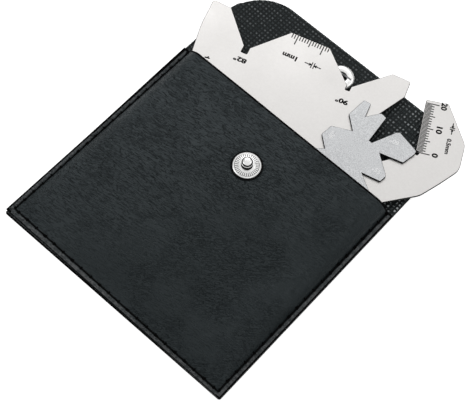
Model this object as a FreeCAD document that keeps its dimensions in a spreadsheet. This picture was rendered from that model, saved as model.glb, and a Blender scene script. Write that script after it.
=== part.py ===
import FreeCAD, Part
import math
import os

# A two-piece gauge set in a snap pouch: a drill point gauge plate and a star gauge plate,
# half drawn out of a folded leather pouch that lies open on a table.
# Lengths are in mm. X runs across the pouch, Y towards the flap, Z up from the table.

sizes = {
    # pouch panels
    "pouchWidth": 96.0,
    "pouchBottom": 43.6,
    "mouthLine": 43.25,
    "foldLine": 47.4,
    "foldGap": 0.3,
    "shellThickness": 0.8,
    "liningThickness": 0.3,
    "panelCornerRadius": 0.8,
    # raised middle of the front panel
    "seamFootInset": 3.3,
    "bottomFootInset": 2.6,
    "ribWidth": 5.0,
    "starClearance": 0.1,
    # flap
    "flapLength": 34.9,
    "flapCornerRadius": 17.5,
    "flapLift": 1.8,
    # seam stitches
    "stitchInset": 2.0,
    "bottomStitchInset": 1.5,
    "stitchPitch": 4.2,
    "stitchLength": 3.3,
    "stitchWidth": 0.5,
    "stitchHeight": 0.25,
    "stitchGrooveWidth": 0.8,
    "stitchGrooveDepth": 0.3,
    # snap fastener
    "snapX": 0.4,
    "snapSlack": 0.35,
    "socketFromTip": 9.85,
    "studFlangeRadius": 5.0,
    "studFlangeThickness": 0.5,
    "studPostRadius": 1.95,
    "studNeckRadius": 1.45,
    "studPostHeight": 3.1,
    "rivetBarrelRadius": 1.3,
    "rivetFlangeRadius": 4.4,
    "rivetFlangeThickness": 0.35,
    "socketRadius": 5.0,
    "socketHeight": 1.4,
    "socketBore": 2.1,
    "springOffset": 1.4,
    "springRadius": 0.25,
    "springLength": 6.6,
    "capRadius": 6.3,
    "capThickness": 0.6,
    "capBarrelWall": 0.4,
    "fitGap": 0.05,
    # gauge plates
    "plateThickness": 0.9,
    "starThickness": 0.8,
    "plateTilt": 1.2,
    "plateTurn": 17.5,
    "plateInnerEnd": -33.0,
    "plateInnerHeight": 1.2,
    "starRest": 0.05,
    "gaugeLength": 108.45,
    "starLength": 36.8,
    "starReach": 15.0,
}

doc = FreeCAD.newDocument("gauge_set")
sheet = doc.addObject("Spreadsheet::Sheet", "Sizes")
for row, (sizeName, sizeValue) in enumerate(sizes.items(), start=1):
    sheet.set("A" + str(row), str(sizeValue))
    sheet.setAlias("A" + str(row), sizeName)
doc.recompute()

pouchWidth = sizes["pouchWidth"]
halfWidth = pouchWidth / 2
pouchBottom = sizes["pouchBottom"]
mouthLine = sizes["mouthLine"]
foldLine = sizes["foldLine"]
halfFoldGap = sizes["foldGap"] / 2
shell = sizes["shellThickness"]
lining = sizes["liningThickness"]
panel = shell + lining
tilt = math.radians(sizes["plateTilt"])
turn = math.radians(sizes["plateTurn"])
plateThickness = sizes["plateThickness"]
starThickness = sizes["starThickness"]
seamFoot = halfWidth - sizes["seamFootInset"]
bottomSeamFoot = pouchBottom - sizes["bottomFootInset"]
stitchLine = halfWidth - sizes["stitchInset"]
bottomStitchLine = pouchBottom - sizes["bottomStitchInset"]
snapX = sizes["snapX"]
socketFromFold = sizes["flapLength"] - sizes["socketFromTip"]
studY = foldLine - socketFromFold - sizes["snapSlack"]


def plateBottomHeight(y):
    return sizes["plateInnerHeight"] + (y - sizes["plateInnerEnd"]) * math.tan(tilt)


def vector(x, y, z=0.0):
    return FreeCAD.Vector(x, y, z)


def originPlane(body, role):
    for feature in body.Origin.OriginFeatures:
        if feature.Role == role:
            return feature
    raise ValueError(role)


def newBody(label):
    body = doc.addObject("PartDesign::Body", label)
    body.Label = label
    return body


def sketchOn(body, name, role="XY_Plane", offset=0.0):
    sketch = body.newObject("Sketcher::SketchObject", name)
    sketch.AttachmentSupport = [(originPlane(body, role), "")]
    sketch.MapMode = "FlatFace"
    sketch.AttachmentOffset = FreeCAD.Placement(vector(0, 0, offset), FreeCAD.Rotation())
    return sketch


def roundedOutline(corners):
    # Each corner is (x, y) or (x, y, radius). Gives the straight and round pieces in order.
    count = len(corners)
    starts = []
    ends = []
    arcs = []
    for index in range(count):
        corner = corners[index]
        here = vector(corner[0], corner[1])
        radius = corner[2] if len(corner) > 2 else 0.0
        before = vector(*corners[index - 1][:2])
        after = vector(*corners[(index + 1) % count][:2])
        if radius <= 0:
            starts.append(here)
            ends.append(here)
            arcs.append(None)
            continue
        toBefore = (before - here).normalize()
        toAfter = (after - here).normalize()
        halfAngle = toBefore.getAngle(toAfter) / 2
        reach = radius / math.tan(halfAngle)
        bisector = (toBefore + toAfter).normalize()
        centre = here + bisector * (radius / math.sin(halfAngle))
        middle = centre - bisector * radius
        starts.append(here + toBefore * reach)
        ends.append(here + toAfter * reach)
        arcs.append(middle)
    pieces = []
    for index in range(count):
        if arcs[index] is not None:
            pieces.append(Part.Arc(starts[index], arcs[index], ends[index]))
        lineStart = ends[index]
        lineEnd = starts[(index + 1) % count]
        if lineStart.distanceToPoint(lineEnd) > 1e-6:
            pieces.append(Part.LineSegment(lineStart, lineEnd))
    return pieces


def drawOutline(sketch, corners):
    pieces = roundedOutline(corners)
    first = sketch.GeometryCount
    for piece in pieces:
        sketch.addGeometry(piece, False)
    last = sketch.GeometryCount - 1
    return first, last


def drawCircle(sketch, x, y, radius):
    sketch.addGeometry(Part.Circle(vector(x, y), vector(0, 0, 1), radius), False)


def padSketch(body, sketch, name, length=None, sizeName=None, reversedWay=False):
    pad = body.newObject("PartDesign::Pad", name)
    pad.Profile = sketch
    if sizeName:
        pad.setExpression("Length", "Sizes." + sizeName)
    else:
        pad.Length = length
    pad.Reversed = reversedWay
    body.Tip = pad
    return pad


def cutSketch(body, sketch, name, depth, upwards):
    pocket = body.newObject("PartDesign::Pocket", name)
    pocket.Profile = sketch
    pocket.Length = depth
    pocket.Reversed = upwards
    body.Tip = pocket
    return pocket


def cutThrough(body, sketch, name):
    pocket = body.newObject("PartDesign::Pocket", name)
    pocket.Profile = sketch
    pocket.Type = "ThroughAll"
    pocket.Midplane = True
    body.Tip = pocket
    return pocket


def revolveProfile(body, corners, name):
    # The profile is given as (radius, height) corners and turns about the body's Z axis.
    sketch = sketchOn(body, name + "_profile", "XZ_Plane")
    drawOutline(sketch, corners)
    revolution = body.newObject("PartDesign::Revolution", name)
    revolution.Profile = sketch
    revolution.ReferenceAxis = (sketch, ["V_Axis"])
    revolution.Angle = 360
    body.Tip = revolution
    return revolution


# Back panel: outer leather with the hidden stitch groove, and its lining.

backTop = foldLine - halfFoldGap
cornerRadius = sizes["panelCornerRadius"]
backCorners = [
    (-halfWidth, -pouchBottom, cornerRadius),
    (halfWidth, -pouchBottom, cornerRadius),
    (halfWidth, backTop),
    (-halfWidth, backTop),
]


def grooveCorners():
    middle = stitchLine
    half = sizes["stitchGrooveWidth"] / 2
    bottomMiddle = bottomStitchLine
    top = mouthLine - 0.6
    return [
        (-middle - half, -bottomMiddle - half),
        (middle + half, -bottomMiddle - half),
        (middle + half, top),
        (middle - half, top),
        (middle - half, -bottomMiddle + half),
        (-middle + half, -bottomMiddle + half),
        (-middle + half, top),
        (-middle - half, top),
    ]


def makeBackShell():
    body = newBody("back_shell")
    outline = sketchOn(body, "back_shell_outline")
    drawOutline(outline, backCorners)
    padSketch(body, outline, "back_shell_pad", sizeName="shellThickness")
    groove = sketchOn(body, "back_shell_groove_outline")
    drawOutline(groove, grooveCorners())
    cutSketch(body, groove, "back_shell_groove", sizes["stitchGrooveDepth"], True)
    return body


def makeBackLining():
    body = newBody("back_lining")
    outline = sketchOn(body, "back_lining_outline", offset=0.0)
    drawOutline(outline, backCorners)
    padSketch(body, outline, "back_lining_pad", sizeName="liningThickness")
    body.setExpression("Placement.Base.z", "Sizes.shellThickness")
    return body


# Front panel: a flat sewn rim with a raised middle that leaves room for the two gauges.
# Each cross section is (position along the pouch, height of the raised middle).

roomForStar = plateThickness + sizes["starRest"] + starThickness + sizes["starClearance"]
starReach = sizes["starReach"]
innerMouth = plateBottomHeight(mouthLine) + roomForStar
innerStarReach = plateBottomHeight(starReach) + roomForStar
innerPlateEnd = plateBottomHeight(sizes["plateInnerEnd"]) + plateThickness + 0.15
frontSections = [
    (-pouchBottom, 0.0),
    (-bottomSeamFoot, 0.0),
    (sizes["plateInnerEnd"], innerPlateEnd - panel),
    (starReach, innerStarReach - panel),
    (mouthLine, innerMouth - panel),
]


def frontInnerHeight(y):
    for before, after in zip(frontSections, frontSections[1:]):
        if before[0] <= y <= after[0]:
            share = (y - before[0]) / (after[0] - before[0])
            return panel + before[1] + share * (after[1] - before[1])
    return panel


def ribEnds(side, depth, height):
    # One side of the raised middle. Depth is how far outside the inner face the rib lies.
    foot = seamFoot + 0.85 * depth
    base = panel + depth
    low = vector(side * foot, base)
    high = vector(side * (foot - sizes["ribWidth"]), base + height)
    return low, high


def ribEdge(start, end, height):
    # A rib is an arc that runs level into the raised middle, or a line where nothing is raised.
    if height <= 0:
        return Part.LineSegment(start, end)
    width = sizes["ribWidth"]
    radius = (width * width + height * height) / (2 * height)
    high = start if start.y > end.y else end
    low = end if start.y > end.y else start
    side = 1 if low.x > high.x else -1
    centre = vector(high.x, high.y - radius)
    halfTurn = math.asin(width / radius) / 2 if height < width else math.pi / 4
    middle = centre + vector(side * radius * math.sin(halfTurn), radius * math.cos(halfTurn))
    return Part.Arc(start, middle, end)


def drawFrontSection(sketch, height, lower, upper):
    # A closed band between two faces that lie lower and upper mm outside the inner face.
    lowLeft, highLeft = ribEnds(-1, lower, height)
    lowRight, highRight = ribEnds(1, lower, height)
    lowLeftOut, highLeftOut = ribEnds(-1, upper, height)
    lowRightOut, highRightOut = ribEnds(1, upper, height)
    edgeLeft = vector(-halfWidth, panel + lower)
    edgeRight = vector(halfWidth, panel + lower)
    edgeLeftOut = vector(-halfWidth, panel + upper)
    edgeRightOut = vector(halfWidth, panel + upper)
    band = [
        Part.LineSegment(edgeLeft, lowLeft),
        ribEdge(lowLeft, highLeft, height),
        Part.LineSegment(highLeft, highRight),
        ribEdge(highRight, lowRight, height),
        Part.LineSegment(lowRight, edgeRight),
        Part.LineSegment(edgeRight, edgeRightOut),
        Part.LineSegment(edgeRightOut, lowRightOut),
        ribEdge(lowRightOut, highRightOut, height),
        Part.LineSegment(highRightOut, highLeftOut),
        ribEdge(highLeftOut, lowLeftOut, height),
        Part.LineSegment(lowLeftOut, edgeLeftOut),
        Part.LineSegment(edgeLeftOut, edgeLeft),
    ]
    for piece in band:
        sketch.addGeometry(piece, False)


def makeFrontPanel(label, lower, upper, holeRadius):
    body = newBody(label)
    sketches = []
    for index, (y, height) in enumerate(frontSections):
        sketch = sketchOn(body, label + "_section_" + str(index), "XZ_Plane", -y)
        drawFrontSection(sketch, height, lower, upper)
        sketches.append(sketch)
    doc.recompute()
    loft = body.newObject("PartDesign::AdditiveLoft", label + "_loft")
    loft.Profile = sketches[0]
    loft.Sections = sketches[1:]
    loft.Ruled = True
    body.Tip = loft
    doc.recompute()
    hole = sketchOn(body, label + "_hole_outline")
    drawCircle(hole, snapX, studY, holeRadius)
    cutThrough(body, hole, label + "_hole")
    return body


def makeFrontShell():
    return makeFrontPanel("front_shell", lining, panel, sizes["rivetBarrelRadius"] + 2 * sizes["fitGap"])


def makeFrontLining():
    return makeFrontPanel("front_lining", 0.0, lining, sizes["rivetBarrelRadius"] + 2 * sizes["fitGap"])


# Flap: drawn flat from the fold line and then lifted a little, because the cap lies under it.

flapRadius = sizes["flapCornerRadius"]
flapLength = sizes["flapLength"]
flapCorners = [
    (-halfWidth, halfFoldGap),
    (halfWidth, halfFoldGap),
    (halfWidth, flapLength, flapRadius),
    (-halfWidth, flapLength, flapRadius),
]
capBarrelRadius = sizes["socketBore"] + sizes["capBarrelWall"]
flapHoleRadius = capBarrelRadius + sizes["fitGap"]


def placeOnFlap(body, x=0.0, y=0.0, z=0.0):
    lift = FreeCAD.Rotation(vector(1, 0, 0), sizes["flapLift"])
    hinge = FreeCAD.Placement(vector(0, foldLine, 0), lift)
    body.Placement = hinge.multiply(FreeCAD.Placement(vector(x, y, z), FreeCAD.Rotation()))


def makeFlapLayer(label, height, sizeName):
    body = newBody(label)
    outline = sketchOn(body, label + "_outline")
    drawOutline(outline, flapCorners)
    drawCircle(outline, snapX, socketFromFold, flapHoleRadius)
    padSketch(body, outline, label + "_pad", sizeName=sizeName)
    placeOnFlap(body, z=height)
    return body


def makeFlapShell():
    return makeFlapLayer("flap_shell", 0.0, "shellThickness")


def makeFlapLining():
    return makeFlapLayer("flap_lining", shell, "liningThickness")


# Stitches: one thread lies on the front rim, the other in the groove under the back panel.

def stitchPlaces():
    line = stitchLine
    pitch = sizes["stitchPitch"]
    bottomLine = bottomStitchLine
    places = []
    sideLength = bottomLine + mouthLine - 1.0
    sideCount = int(sideLength / pitch)
    for index in range(sideCount):
        y = mouthLine - 1.0 - (index + 0.5) * pitch
        places.append((-line, y, 90.0))
        places.append((line, y, 90.0))
    bottomCount = int((2 * line - 1.0) / pitch)
    for index in range(bottomCount):
        x = (index - (bottomCount - 1) / 2) * pitch
        places.append((x, -bottomLine, 0.0))
    return places


def makeThread(label, z):
    boxes = []
    for index, (x, y, angle) in enumerate(stitchPlaces()):
        box = doc.addObject("Part::Box", label + "_stitch_" + str(index))
        box.setExpression("Length", "Sizes.stitchLength")
        box.setExpression("Width", "Sizes.stitchWidth")
        box.setExpression("Height", "Sizes.stitchHeight")
        centring = FreeCAD.Placement(
            vector(-sizes["stitchLength"] / 2, -sizes["stitchWidth"] / 2, 0), FreeCAD.Rotation()
        )
        spot = FreeCAD.Placement(vector(x, y, z), FreeCAD.Rotation(vector(0, 0, 1), angle))
        box.Placement = spot.multiply(centring)
        boxes.append(box)
    thread = doc.addObject("Part::Compound", label)
    thread.Label = label
    thread.Links = boxes
    return thread


# Snap fastener: stud and rivet on the front panel, socket, springs and cap on the flap.

studBase = frontInnerHeight(studY) + panel


def placeOnFront(body):
    lean = FreeCAD.Rotation(vector(1, 0, 0), sizes["plateTilt"])
    body.Placement = FreeCAD.Placement(vector(snapX, studY, studBase), lean)


def makeStud():
    body = newBody("snap_stud")
    flange = sizes["studFlangeRadius"]
    thick = sizes["studFlangeThickness"]
    post = sizes["studPostRadius"]
    neck = sizes["studNeckRadius"]
    top = thick + sizes["studPostHeight"]
    bore = sizes["rivetBarrelRadius"] + sizes["fitGap"]
    base = 0.02
    profile = [
        (bore, base),
        (flange, base),
        (flange, thick - 0.1),
        (flange - 1.3, thick + 0.1),
        (neck + 0.5, thick - 0.05),
        (neck, thick + 0.4),
        (neck, top - 1.9),
        (post, top - 1.2),
        (post, top - 0.5),
        (post - 0.6, top),
        (0.0, top),
        (0.0, thick + 0.6),
        (bore, thick + 0.6),
    ]
    revolveProfile(body, profile, "snap_stud_turn")
    placeOnFront(body)
    return body


def makeRivet():
    body = newBody("stud_rivet")
    barrel = sizes["rivetBarrelRadius"]
    flange = sizes["rivetFlangeRadius"]
    thick = sizes["rivetFlangeThickness"]
    under = -panel - 0.03
    profile = [
        (0.0, under - thick),
        (flange, under - thick),
        (flange, under),
        (barrel, under),
        (barrel, sizes["studFlangeThickness"] + 0.5),
        (0.0, sizes["studFlangeThickness"] + 0.5),
    ]
    revolveProfile(body, profile, "stud_rivet_turn")
    placeOnFront(body)
    return body


def makeSocket():
    body = newBody("snap_socket")
    radius = sizes["socketRadius"]
    height = sizes["socketHeight"]
    bore = sizes["socketBore"]
    step = capBarrelRadius + sizes["fitGap"]
    profile = [
        (step, 0.0),
        (radius, 0.0),
        (radius, height - 0.7),
        (radius - 0.25, height - 0.2),
        (radius - 0.8, height),
        (bore + 0.4, height),
        (bore, height - 0.4),
        (bore, 0.6),
        (step, 0.6),
    ]
    revolveProfile(body, profile, "snap_socket_turn")
    slots = sketchOn(body, "snap_socket_slots_outline", offset=height)
    slotHalf = sizes["springRadius"] + 0.07
    slotReach = sizes["springLength"] / 2 + 0.1
    for side in (-1, 1):
        middle = side * sizes["springOffset"]
        drawOutline(slots, [
            (-slotReach, middle - slotHalf),
            (slotReach, middle - slotHalf),
            (slotReach, middle + slotHalf),
            (-slotReach, middle + slotHalf),
        ])
    cutSketch(body, slots, "snap_socket_slots", height - 0.68, False)
    placeOnFlap(body, snapX, socketFromFold, panel)
    return body


def makeSprings():
    wires = []
    for index, side in enumerate((-1, 1)):
        wire = doc.addObject("Part::Cylinder", "spring_wire_" + str(index))
        wire.setExpression("Radius", "Sizes.springRadius")
        wire.setExpression("Height", "Sizes.springLength")
        across = FreeCAD.Rotation(vector(0, 1, 0), 90)
        start = vector(-sizes["springLength"] / 2, side * sizes["springOffset"], 0.98)
        wire.Placement = FreeCAD.Placement(start, across)
        wires.append(wire)
    group = doc.addObject("Part::Compound", "socket_springs")
    group.Label = "socket_springs"
    group.Links = wires
    placeOnFlap(group, snapX, socketFromFold, panel)
    return group


def makeCap():
    body = newBody("snap_cap")
    radius = sizes["capRadius"]
    thick = sizes["capThickness"]
    bore = sizes["socketBore"]
    profile = [
        (0.0, -thick),
        (radius - 1.4, -thick),
        (radius - 0.2, -thick + 0.25),
        (radius, -0.02),
        (capBarrelRadius, -0.02),
        (capBarrelRadius, panel + 0.55),
        (bore, panel + 0.55),
        (bore, -0.2),
        (0.0, -0.2),
    ]
    revolveProfile(body, profile, "snap_cap_turn")
    placeOnFlap(body, snapX, socketFromFold, 0.0)
    return body


# Drill point gauge plate, drawn in its own frame: straight top edge along X, stem down -Y.
# The outlines are drawn for the lengths named here, and follow the lengths among the sizes.

gaugeUnit = sizes["gaugeLength"] / 108.45
starUnit = sizes["starLength"] / 36.8
topEdge = 77.45


def resized(corners, unit):
    return [tuple(value * unit for value in corner) for corner in corners]


def vNotch(vertexX, vertexY, includedAngle, reliefHalf, reliefDepth):
    # Corners from the left lip to the right lip, with a small square relief at the bottom.
    slope = math.tan(math.radians(includedAngle / 2))
    half = (topEdge - vertexY) * slope
    reliefTop = vertexY + reliefHalf / slope
    reliefBottom = vertexY - reliefDepth
    return [
        (vertexX - half, topEdge),
        (vertexX - reliefHalf, reliefTop),
        (vertexX - reliefHalf, reliefBottom, 0.3),
        (vertexX + reliefHalf, reliefBottom, 0.3),
        (vertexX + reliefHalf, reliefTop),
        (vertexX + half, topEdge),
    ]


def drillNotch():
    # Corners from the lower lip of the drill notch, past its vertex, to the tip of the scale edge.
    vertex = vector(57.05, 52.0)
    reliefHalf = 0.65
    reliefDepth = 1.2
    scaleEdgeLength = 21.45
    scaleAngle = math.radians(100.7)
    sideAngle = scaleAngle + math.radians(121.0)
    bisector = (sideAngle + scaleAngle) / 2
    alongSide = vector(math.cos(sideAngle), math.sin(sideAngle))
    alongScale = vector(math.cos(scaleAngle), math.sin(scaleAngle))
    inward = vector(-math.cos(bisector), -math.sin(bisector))
    across = vector(-inward.y, inward.x)
    reach = reliefHalf / math.sin((sideAngle - scaleAngle) / 2)
    lowLip = vertex + alongSide * reach
    highLip = vertex + alongScale * reach
    acrossSign = 1 if across.dot(alongSide) > 0 else -1
    lowRelief = vertex + inward * reliefDepth + across * (acrossSign * reliefHalf)
    highRelief = vertex + inward * reliefDepth - across * (acrossSign * reliefHalf)
    throatEnd = vertex + alongSide * 19.5
    tip = vertex + alongScale * scaleEdgeLength
    return [
        (throatEnd.x, throatEnd.y, 4.5),
        (lowLip.x, lowLip.y),
        (lowRelief.x, lowRelief.y, 0.3),
        (highRelief.x, highRelief.y, 0.3),
        (highLip.x, highLip.y),
        (tip.x, tip.y, 0.6),
    ]


def pouchPointOnPlate(x, y):
    # Turns a point of the pouch's plan into the plate's own frame.
    along = y / math.cos(tilt)
    return (
        x * math.cos(turn) + along * math.sin(turn),
        -x * math.sin(turn) + along * math.cos(turn),
    )


shoulderLeft = pouchPointOnPlate(3.0 - halfWidth, mouthLine + 0.15)
shoulderInner = pouchPointOnPlate(5.7 - halfWidth, mouthLine + 0.1)
armAtMouth = pouchPointOnPlate(halfWidth - 6.0, mouthLine + 0.1)

outerCorners = (
    [(-32.1, topEdge + 0.5, 1.2)]
    + vNotch(-12.8, 63.6, 82.0, 1.15, 1.5)
    + vNotch(26.35, 65.3, 90.0, 0.8, 1.15)
    + [
        (45.5, topEdge - 0.2, 0.6),
        (45.8, 70.6, 1.0),
        (36.0, 52.6, 4.5),
    ]
    + drillNotch()
    + [
        (61.0, 74.75, 0.6),
        (71.75, 62.1, 6.0),
        (73.3, 51.9, 6.0),
        (68.9, 44.3),
        (64.4, 37.2, 8.0),
    ]
)
stemCorners = [
    (24.0, 4.0, 20.0),
    (14.5, -30.5, 11.0),
    (-8.5, -30.5, 11.0),
    (-16.0, 0.0, 30.0),
]
neckCorner = [(-31.7, 66.5, 25.0)]
plateCorners = resized(outerCorners, gaugeUnit) + [armAtMouth] + resized(stemCorners, gaugeUnit)
plateCorners += [shoulderInner, shoulderLeft] + resized(neckCorner, gaugeUnit)
hangingHole = resized([(3.0, -17.5, 3.0)], gaugeUnit)[0]


def makeDrillGauge():
    body = newBody("drill_gauge_plate")
    outline = sketchOn(body, "drill_gauge_outline")
    drawOutline(outline, list(reversed(plateCorners)))
    drawCircle(outline, *hangingHole)
    padSketch(body, outline, "drill_gauge_pad", sizeName="plateThickness")
    lean = FreeCAD.Rotation(vector(1, 0, 0), sizes["plateTilt"])
    swing = FreeCAD.Rotation(vector(0, 0, 1), sizes["plateTurn"])
    base = vector(0, 0, plateBottomHeight(0.0))
    body.Placement = FreeCAD.Placement(base, lean.multiply(swing))
    return body


# Star gauge plate, drawn in the pouch's plan. The lower arms lie hidden inside the pouch.

starCorners = [
    (13.0, 69.8, 0.5),
    (12.6, 61.9),
    (17.75, 57.65),
    (11.1, 54.1, 0.5),
    (10.7, 49.4, 0.5),
    (15.2, 45.8),
    (12.9, 44.0, 0.5),
    (13.2, 34.0, 0.5),
    (15.9, 33.5, 0.5),
    (17.6, 38.6),
    (20.8, 33.9, 0.5),
    (23.3, 34.1, 0.5),
    (24.5, 42.4),
    (25.7, 42.4),
    (29.5, 36.0, 0.6),
    (30.5, 35.4, 0.6),
    (38.9, 37.1, 0.8),
    (39.2, 38.7, 0.8),
    (38.2, 42.9),
    (30.5, 47.4),
    (37.1, 49.2, 0.5),
    (37.4, 51.9, 0.6),
    (36.5, 52.8, 0.6),
    (30.15, 57.45),
    (38.4, 60.1),
    (39.3, 65.2, 0.8),
    (39.0, 66.8, 0.8),
    (30.4, 68.5, 0.6),
    (29.4, 67.8, 0.6),
    (25.6, 58.7),
    (24.4, 58.7),
    (23.2, 69.7, 0.5),
    (20.7, 69.9, 0.5),
    (17.5, 65.1),
    (15.7, 70.3, 0.5),
]


def makeStarGauge():
    body = newBody("star_gauge_plate")
    outline = sketchOn(body, "star_gauge_outline")
    drawOutline(outline, resized(starCorners, starUnit))
    padSketch(body, outline, "star_gauge_pad", sizeName="starThickness")
    lean = FreeCAD.Rotation(vector(1, 0, 0), sizes["plateTilt"])
    lift = (plateThickness + sizes["starRest"]) / math.cos(tilt)
    base = vector(0, 0, plateBottomHeight(0.0) + lift)
    body.Placement = FreeCAD.Placement(base, lean)
    return body


threadOnFront = 2 * panel
threadUnderBack = (sizes["stitchGrooveDepth"] - sizes["stitchHeight"])

nodes = [
    makeBackShell(),
    makeBackLining(),
    makeFrontShell(),
    makeFrontLining(),
    makeFlapShell(),
    makeFlapLining(),
    makeThread("needle_thread", threadOnFront),
    makeThread("bobbin_thread", threadUnderBack),
    makeStud(),
    makeRivet(),
    makeSocket(),
    makeSprings(),
    makeCap(),
    makeDrillGauge(),
    makeStarGauge(),
]
doc.recompute()

for item in doc.Objects:
    if "Invalid" in item.State or "Error" in item.State:
        raise RuntimeError(item.Label + " " + str(item.State))

os.makedirs("parts", exist_ok=True)
for node in nodes:
    shape = node.Shape
    if shape.isNull() or not shape.isValid():
        raise RuntimeError("shape of " + node.Label)
    shape.exportStep("parts/" + node.Label + ".step")
    box = shape.BoundBox
    print(
        node.Label, len(shape.Solids), round(shape.Volume, 2),
        [round(value, 2) for value in (box.XMin, box.XMax, box.YMin, box.YMax, box.ZMin, box.ZMax)],
    )
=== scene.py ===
import math

import bpy
from mathutils import Matrix, Vector, noise


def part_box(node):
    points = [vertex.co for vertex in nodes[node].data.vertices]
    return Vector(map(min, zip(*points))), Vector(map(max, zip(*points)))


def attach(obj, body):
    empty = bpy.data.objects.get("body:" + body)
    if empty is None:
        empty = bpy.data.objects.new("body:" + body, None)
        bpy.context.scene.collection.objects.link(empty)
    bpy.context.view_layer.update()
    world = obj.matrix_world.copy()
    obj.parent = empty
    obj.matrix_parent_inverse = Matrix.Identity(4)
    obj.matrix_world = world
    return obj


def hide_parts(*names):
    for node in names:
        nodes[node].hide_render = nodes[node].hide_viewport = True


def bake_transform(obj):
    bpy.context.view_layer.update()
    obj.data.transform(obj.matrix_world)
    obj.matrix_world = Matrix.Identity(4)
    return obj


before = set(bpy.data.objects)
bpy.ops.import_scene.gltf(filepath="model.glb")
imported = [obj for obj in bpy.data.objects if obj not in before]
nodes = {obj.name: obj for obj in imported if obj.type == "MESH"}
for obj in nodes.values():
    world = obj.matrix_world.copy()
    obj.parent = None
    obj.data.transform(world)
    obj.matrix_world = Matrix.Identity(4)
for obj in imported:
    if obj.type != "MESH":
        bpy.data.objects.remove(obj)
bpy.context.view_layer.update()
mm = 0.001


# small tools used by every piece

def leaveEditMode():
    if bpy.context.object and bpy.context.object.mode != "OBJECT":
        bpy.ops.object.mode_set(mode="OBJECT")


def deselectAll():
    leaveEditMode()
    bpy.ops.object.select_all(action="DESELECT")


def pick(*objects):
    deselectAll()
    for item in objects:
        item.select_set(True)
    bpy.context.view_layer.objects.active = objects[0]


def applyModifier(piece, kind, name, **settings):
    pick(piece)
    modifier = piece.modifiers.new(name, kind)
    for key, value in settings.items():
        setattr(modifier, key, value)
    bpy.ops.object.modifier_apply(modifier=name)


def smoothShade(piece, degrees=35):
    pick(piece)
    bpy.ops.object.shade_smooth_by_angle(angle=math.radians(degrees))


def settle(piece, name, placement=None):
    # moves a piece to its place and leaves its object at the origin, unturned
    leaveEditMode()
    bpy.context.view_layer.update()
    if placement is not None:
        piece.matrix_world = placement @ piece.matrix_world
    pick(piece)
    bpy.ops.object.transform_apply(location=True, rotation=True, scale=True)
    piece.name = name
    piece.data.name = name


def dress(piece, materials, body, slotName, *replaced):
    piece.data.materials.clear()
    for material in materials:
        piece.data.materials.append(material)
    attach(piece, body)
    if replaced:
        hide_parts(*replaced)


def joinPieces(pieces, name):
    pick(*pieces)
    if len(pieces) > 1:
        bpy.ops.object.join()
    joined = bpy.context.object
    joined.name = name
    return joined


def ownCopy(piece):
    copy = piece.copy()
    copy.data = piece.data.copy()
    bpy.context.collection.objects.link(copy)
    return copy


def turnProfile(name, profile, steps):
    # a (radius, height) profile in mm, drawn by extruding one point, then spun about the Z axis
    deselectAll()
    bpy.ops.mesh.primitive_plane_add(size=mm)
    piece = bpy.context.object
    bpy.ops.object.mode_set(mode="EDIT")
    bpy.ops.mesh.select_mode(type="VERT")
    bpy.ops.mesh.select_all(action="SELECT")
    bpy.ops.mesh.merge(type="CENTER")
    first = profile[0]
    bpy.ops.transform.translate(value=(first[0] * mm, 0, first[1] * mm))
    for before, after in zip(profile, profile[1:]):
        step = ((after[0] - before[0]) * mm, 0, (after[1] - before[1]) * mm)
        bpy.ops.mesh.extrude_region_move(TRANSFORM_OT_translate={"value": step})
    bpy.ops.mesh.select_all(action="SELECT")
    bpy.ops.mesh.spin(steps=steps, angle=math.tau, center=(0, 0, 0), axis=(0, 0, 1))
    bpy.ops.mesh.select_all(action="SELECT")
    bpy.ops.mesh.remove_doubles(threshold=0.002 * mm)
    bpy.ops.mesh.normals_make_consistent(inside=False)
    bpy.ops.object.mode_set(mode="OBJECT")
    piece.name = name
    return piece


def smoothStep(low, high, value):
    share = min(1.0, max(0.0, (value - low) / (high - low)))
    return share * share * (3 - 2 * share)


# sizes in mm that the soft pieces and their materials share with the frame

pouch = {
    "width": 96.0,
    "bottom": 43.6,
    "mouth": 43.25,
    "fold": 47.4,
    "flapEnd": 82.3,
    "flapLift": 1.8,  # degrees
    "flapRadius": 17.5,
    "cornerRadius": 0.8,
    "shell": 0.8,
    "lining": 0.3,
    "seamFoot": 44.7,
    "bottomFoot": 41.0,
    "ribWidth": 5.0,
    "plateEnd": -33.0,
    "plateEndRise": 1.15,
    "starReach": 15.0,
}
seam = {
    "line": 46.0, "bottomLine": 42.1, "fromMouth": 1.0, "cornerGap": 0.5,
    "pitch": 4.2, "stitch": 3.5, "width": 0.44,
    "groove": 0.26, "grooveWidth": 0.36, "grooveShadeHalf": 0.27,
    "hole": 0.3, "holeWidth": 0.4, "holeRadius": 0.6,
}
emboss = {"pitch": 1.45, "depth": 0.2, "from": 37.0}
snap = {"x": 0.4, "studY": 22.0, "socketFromFold": 25.05}
halfWidth = pouch["width"] / 2
panel = pouch["shell"] + pouch["lining"]
bottomSeam = seam["bottomLine"]
tilt = math.radians(1.2)  # the plates and the front rise towards the mouth
turn = math.radians(17.5)  # the large plate lies turned in the pouch
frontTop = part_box("front_shell")[1][2] / mm  # top of the raised middle at the mouth


# shader nodes

def startMaterial(name):
    material = bpy.data.materials.new(name)
    material.use_nodes = True
    tree = material.node_tree
    return material, tree, tree.nodes["Principled BSDF"]


def addNode(tree, kind, settings=None, **entries):
    node = tree.nodes.new("ShaderNode" + kind)
    for key, value in (settings or {}).items():
        setattr(node, key, value)
    for key, value in entries.items():
        node.inputs[key.replace("_", " ")].default_value = value
    return node


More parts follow.
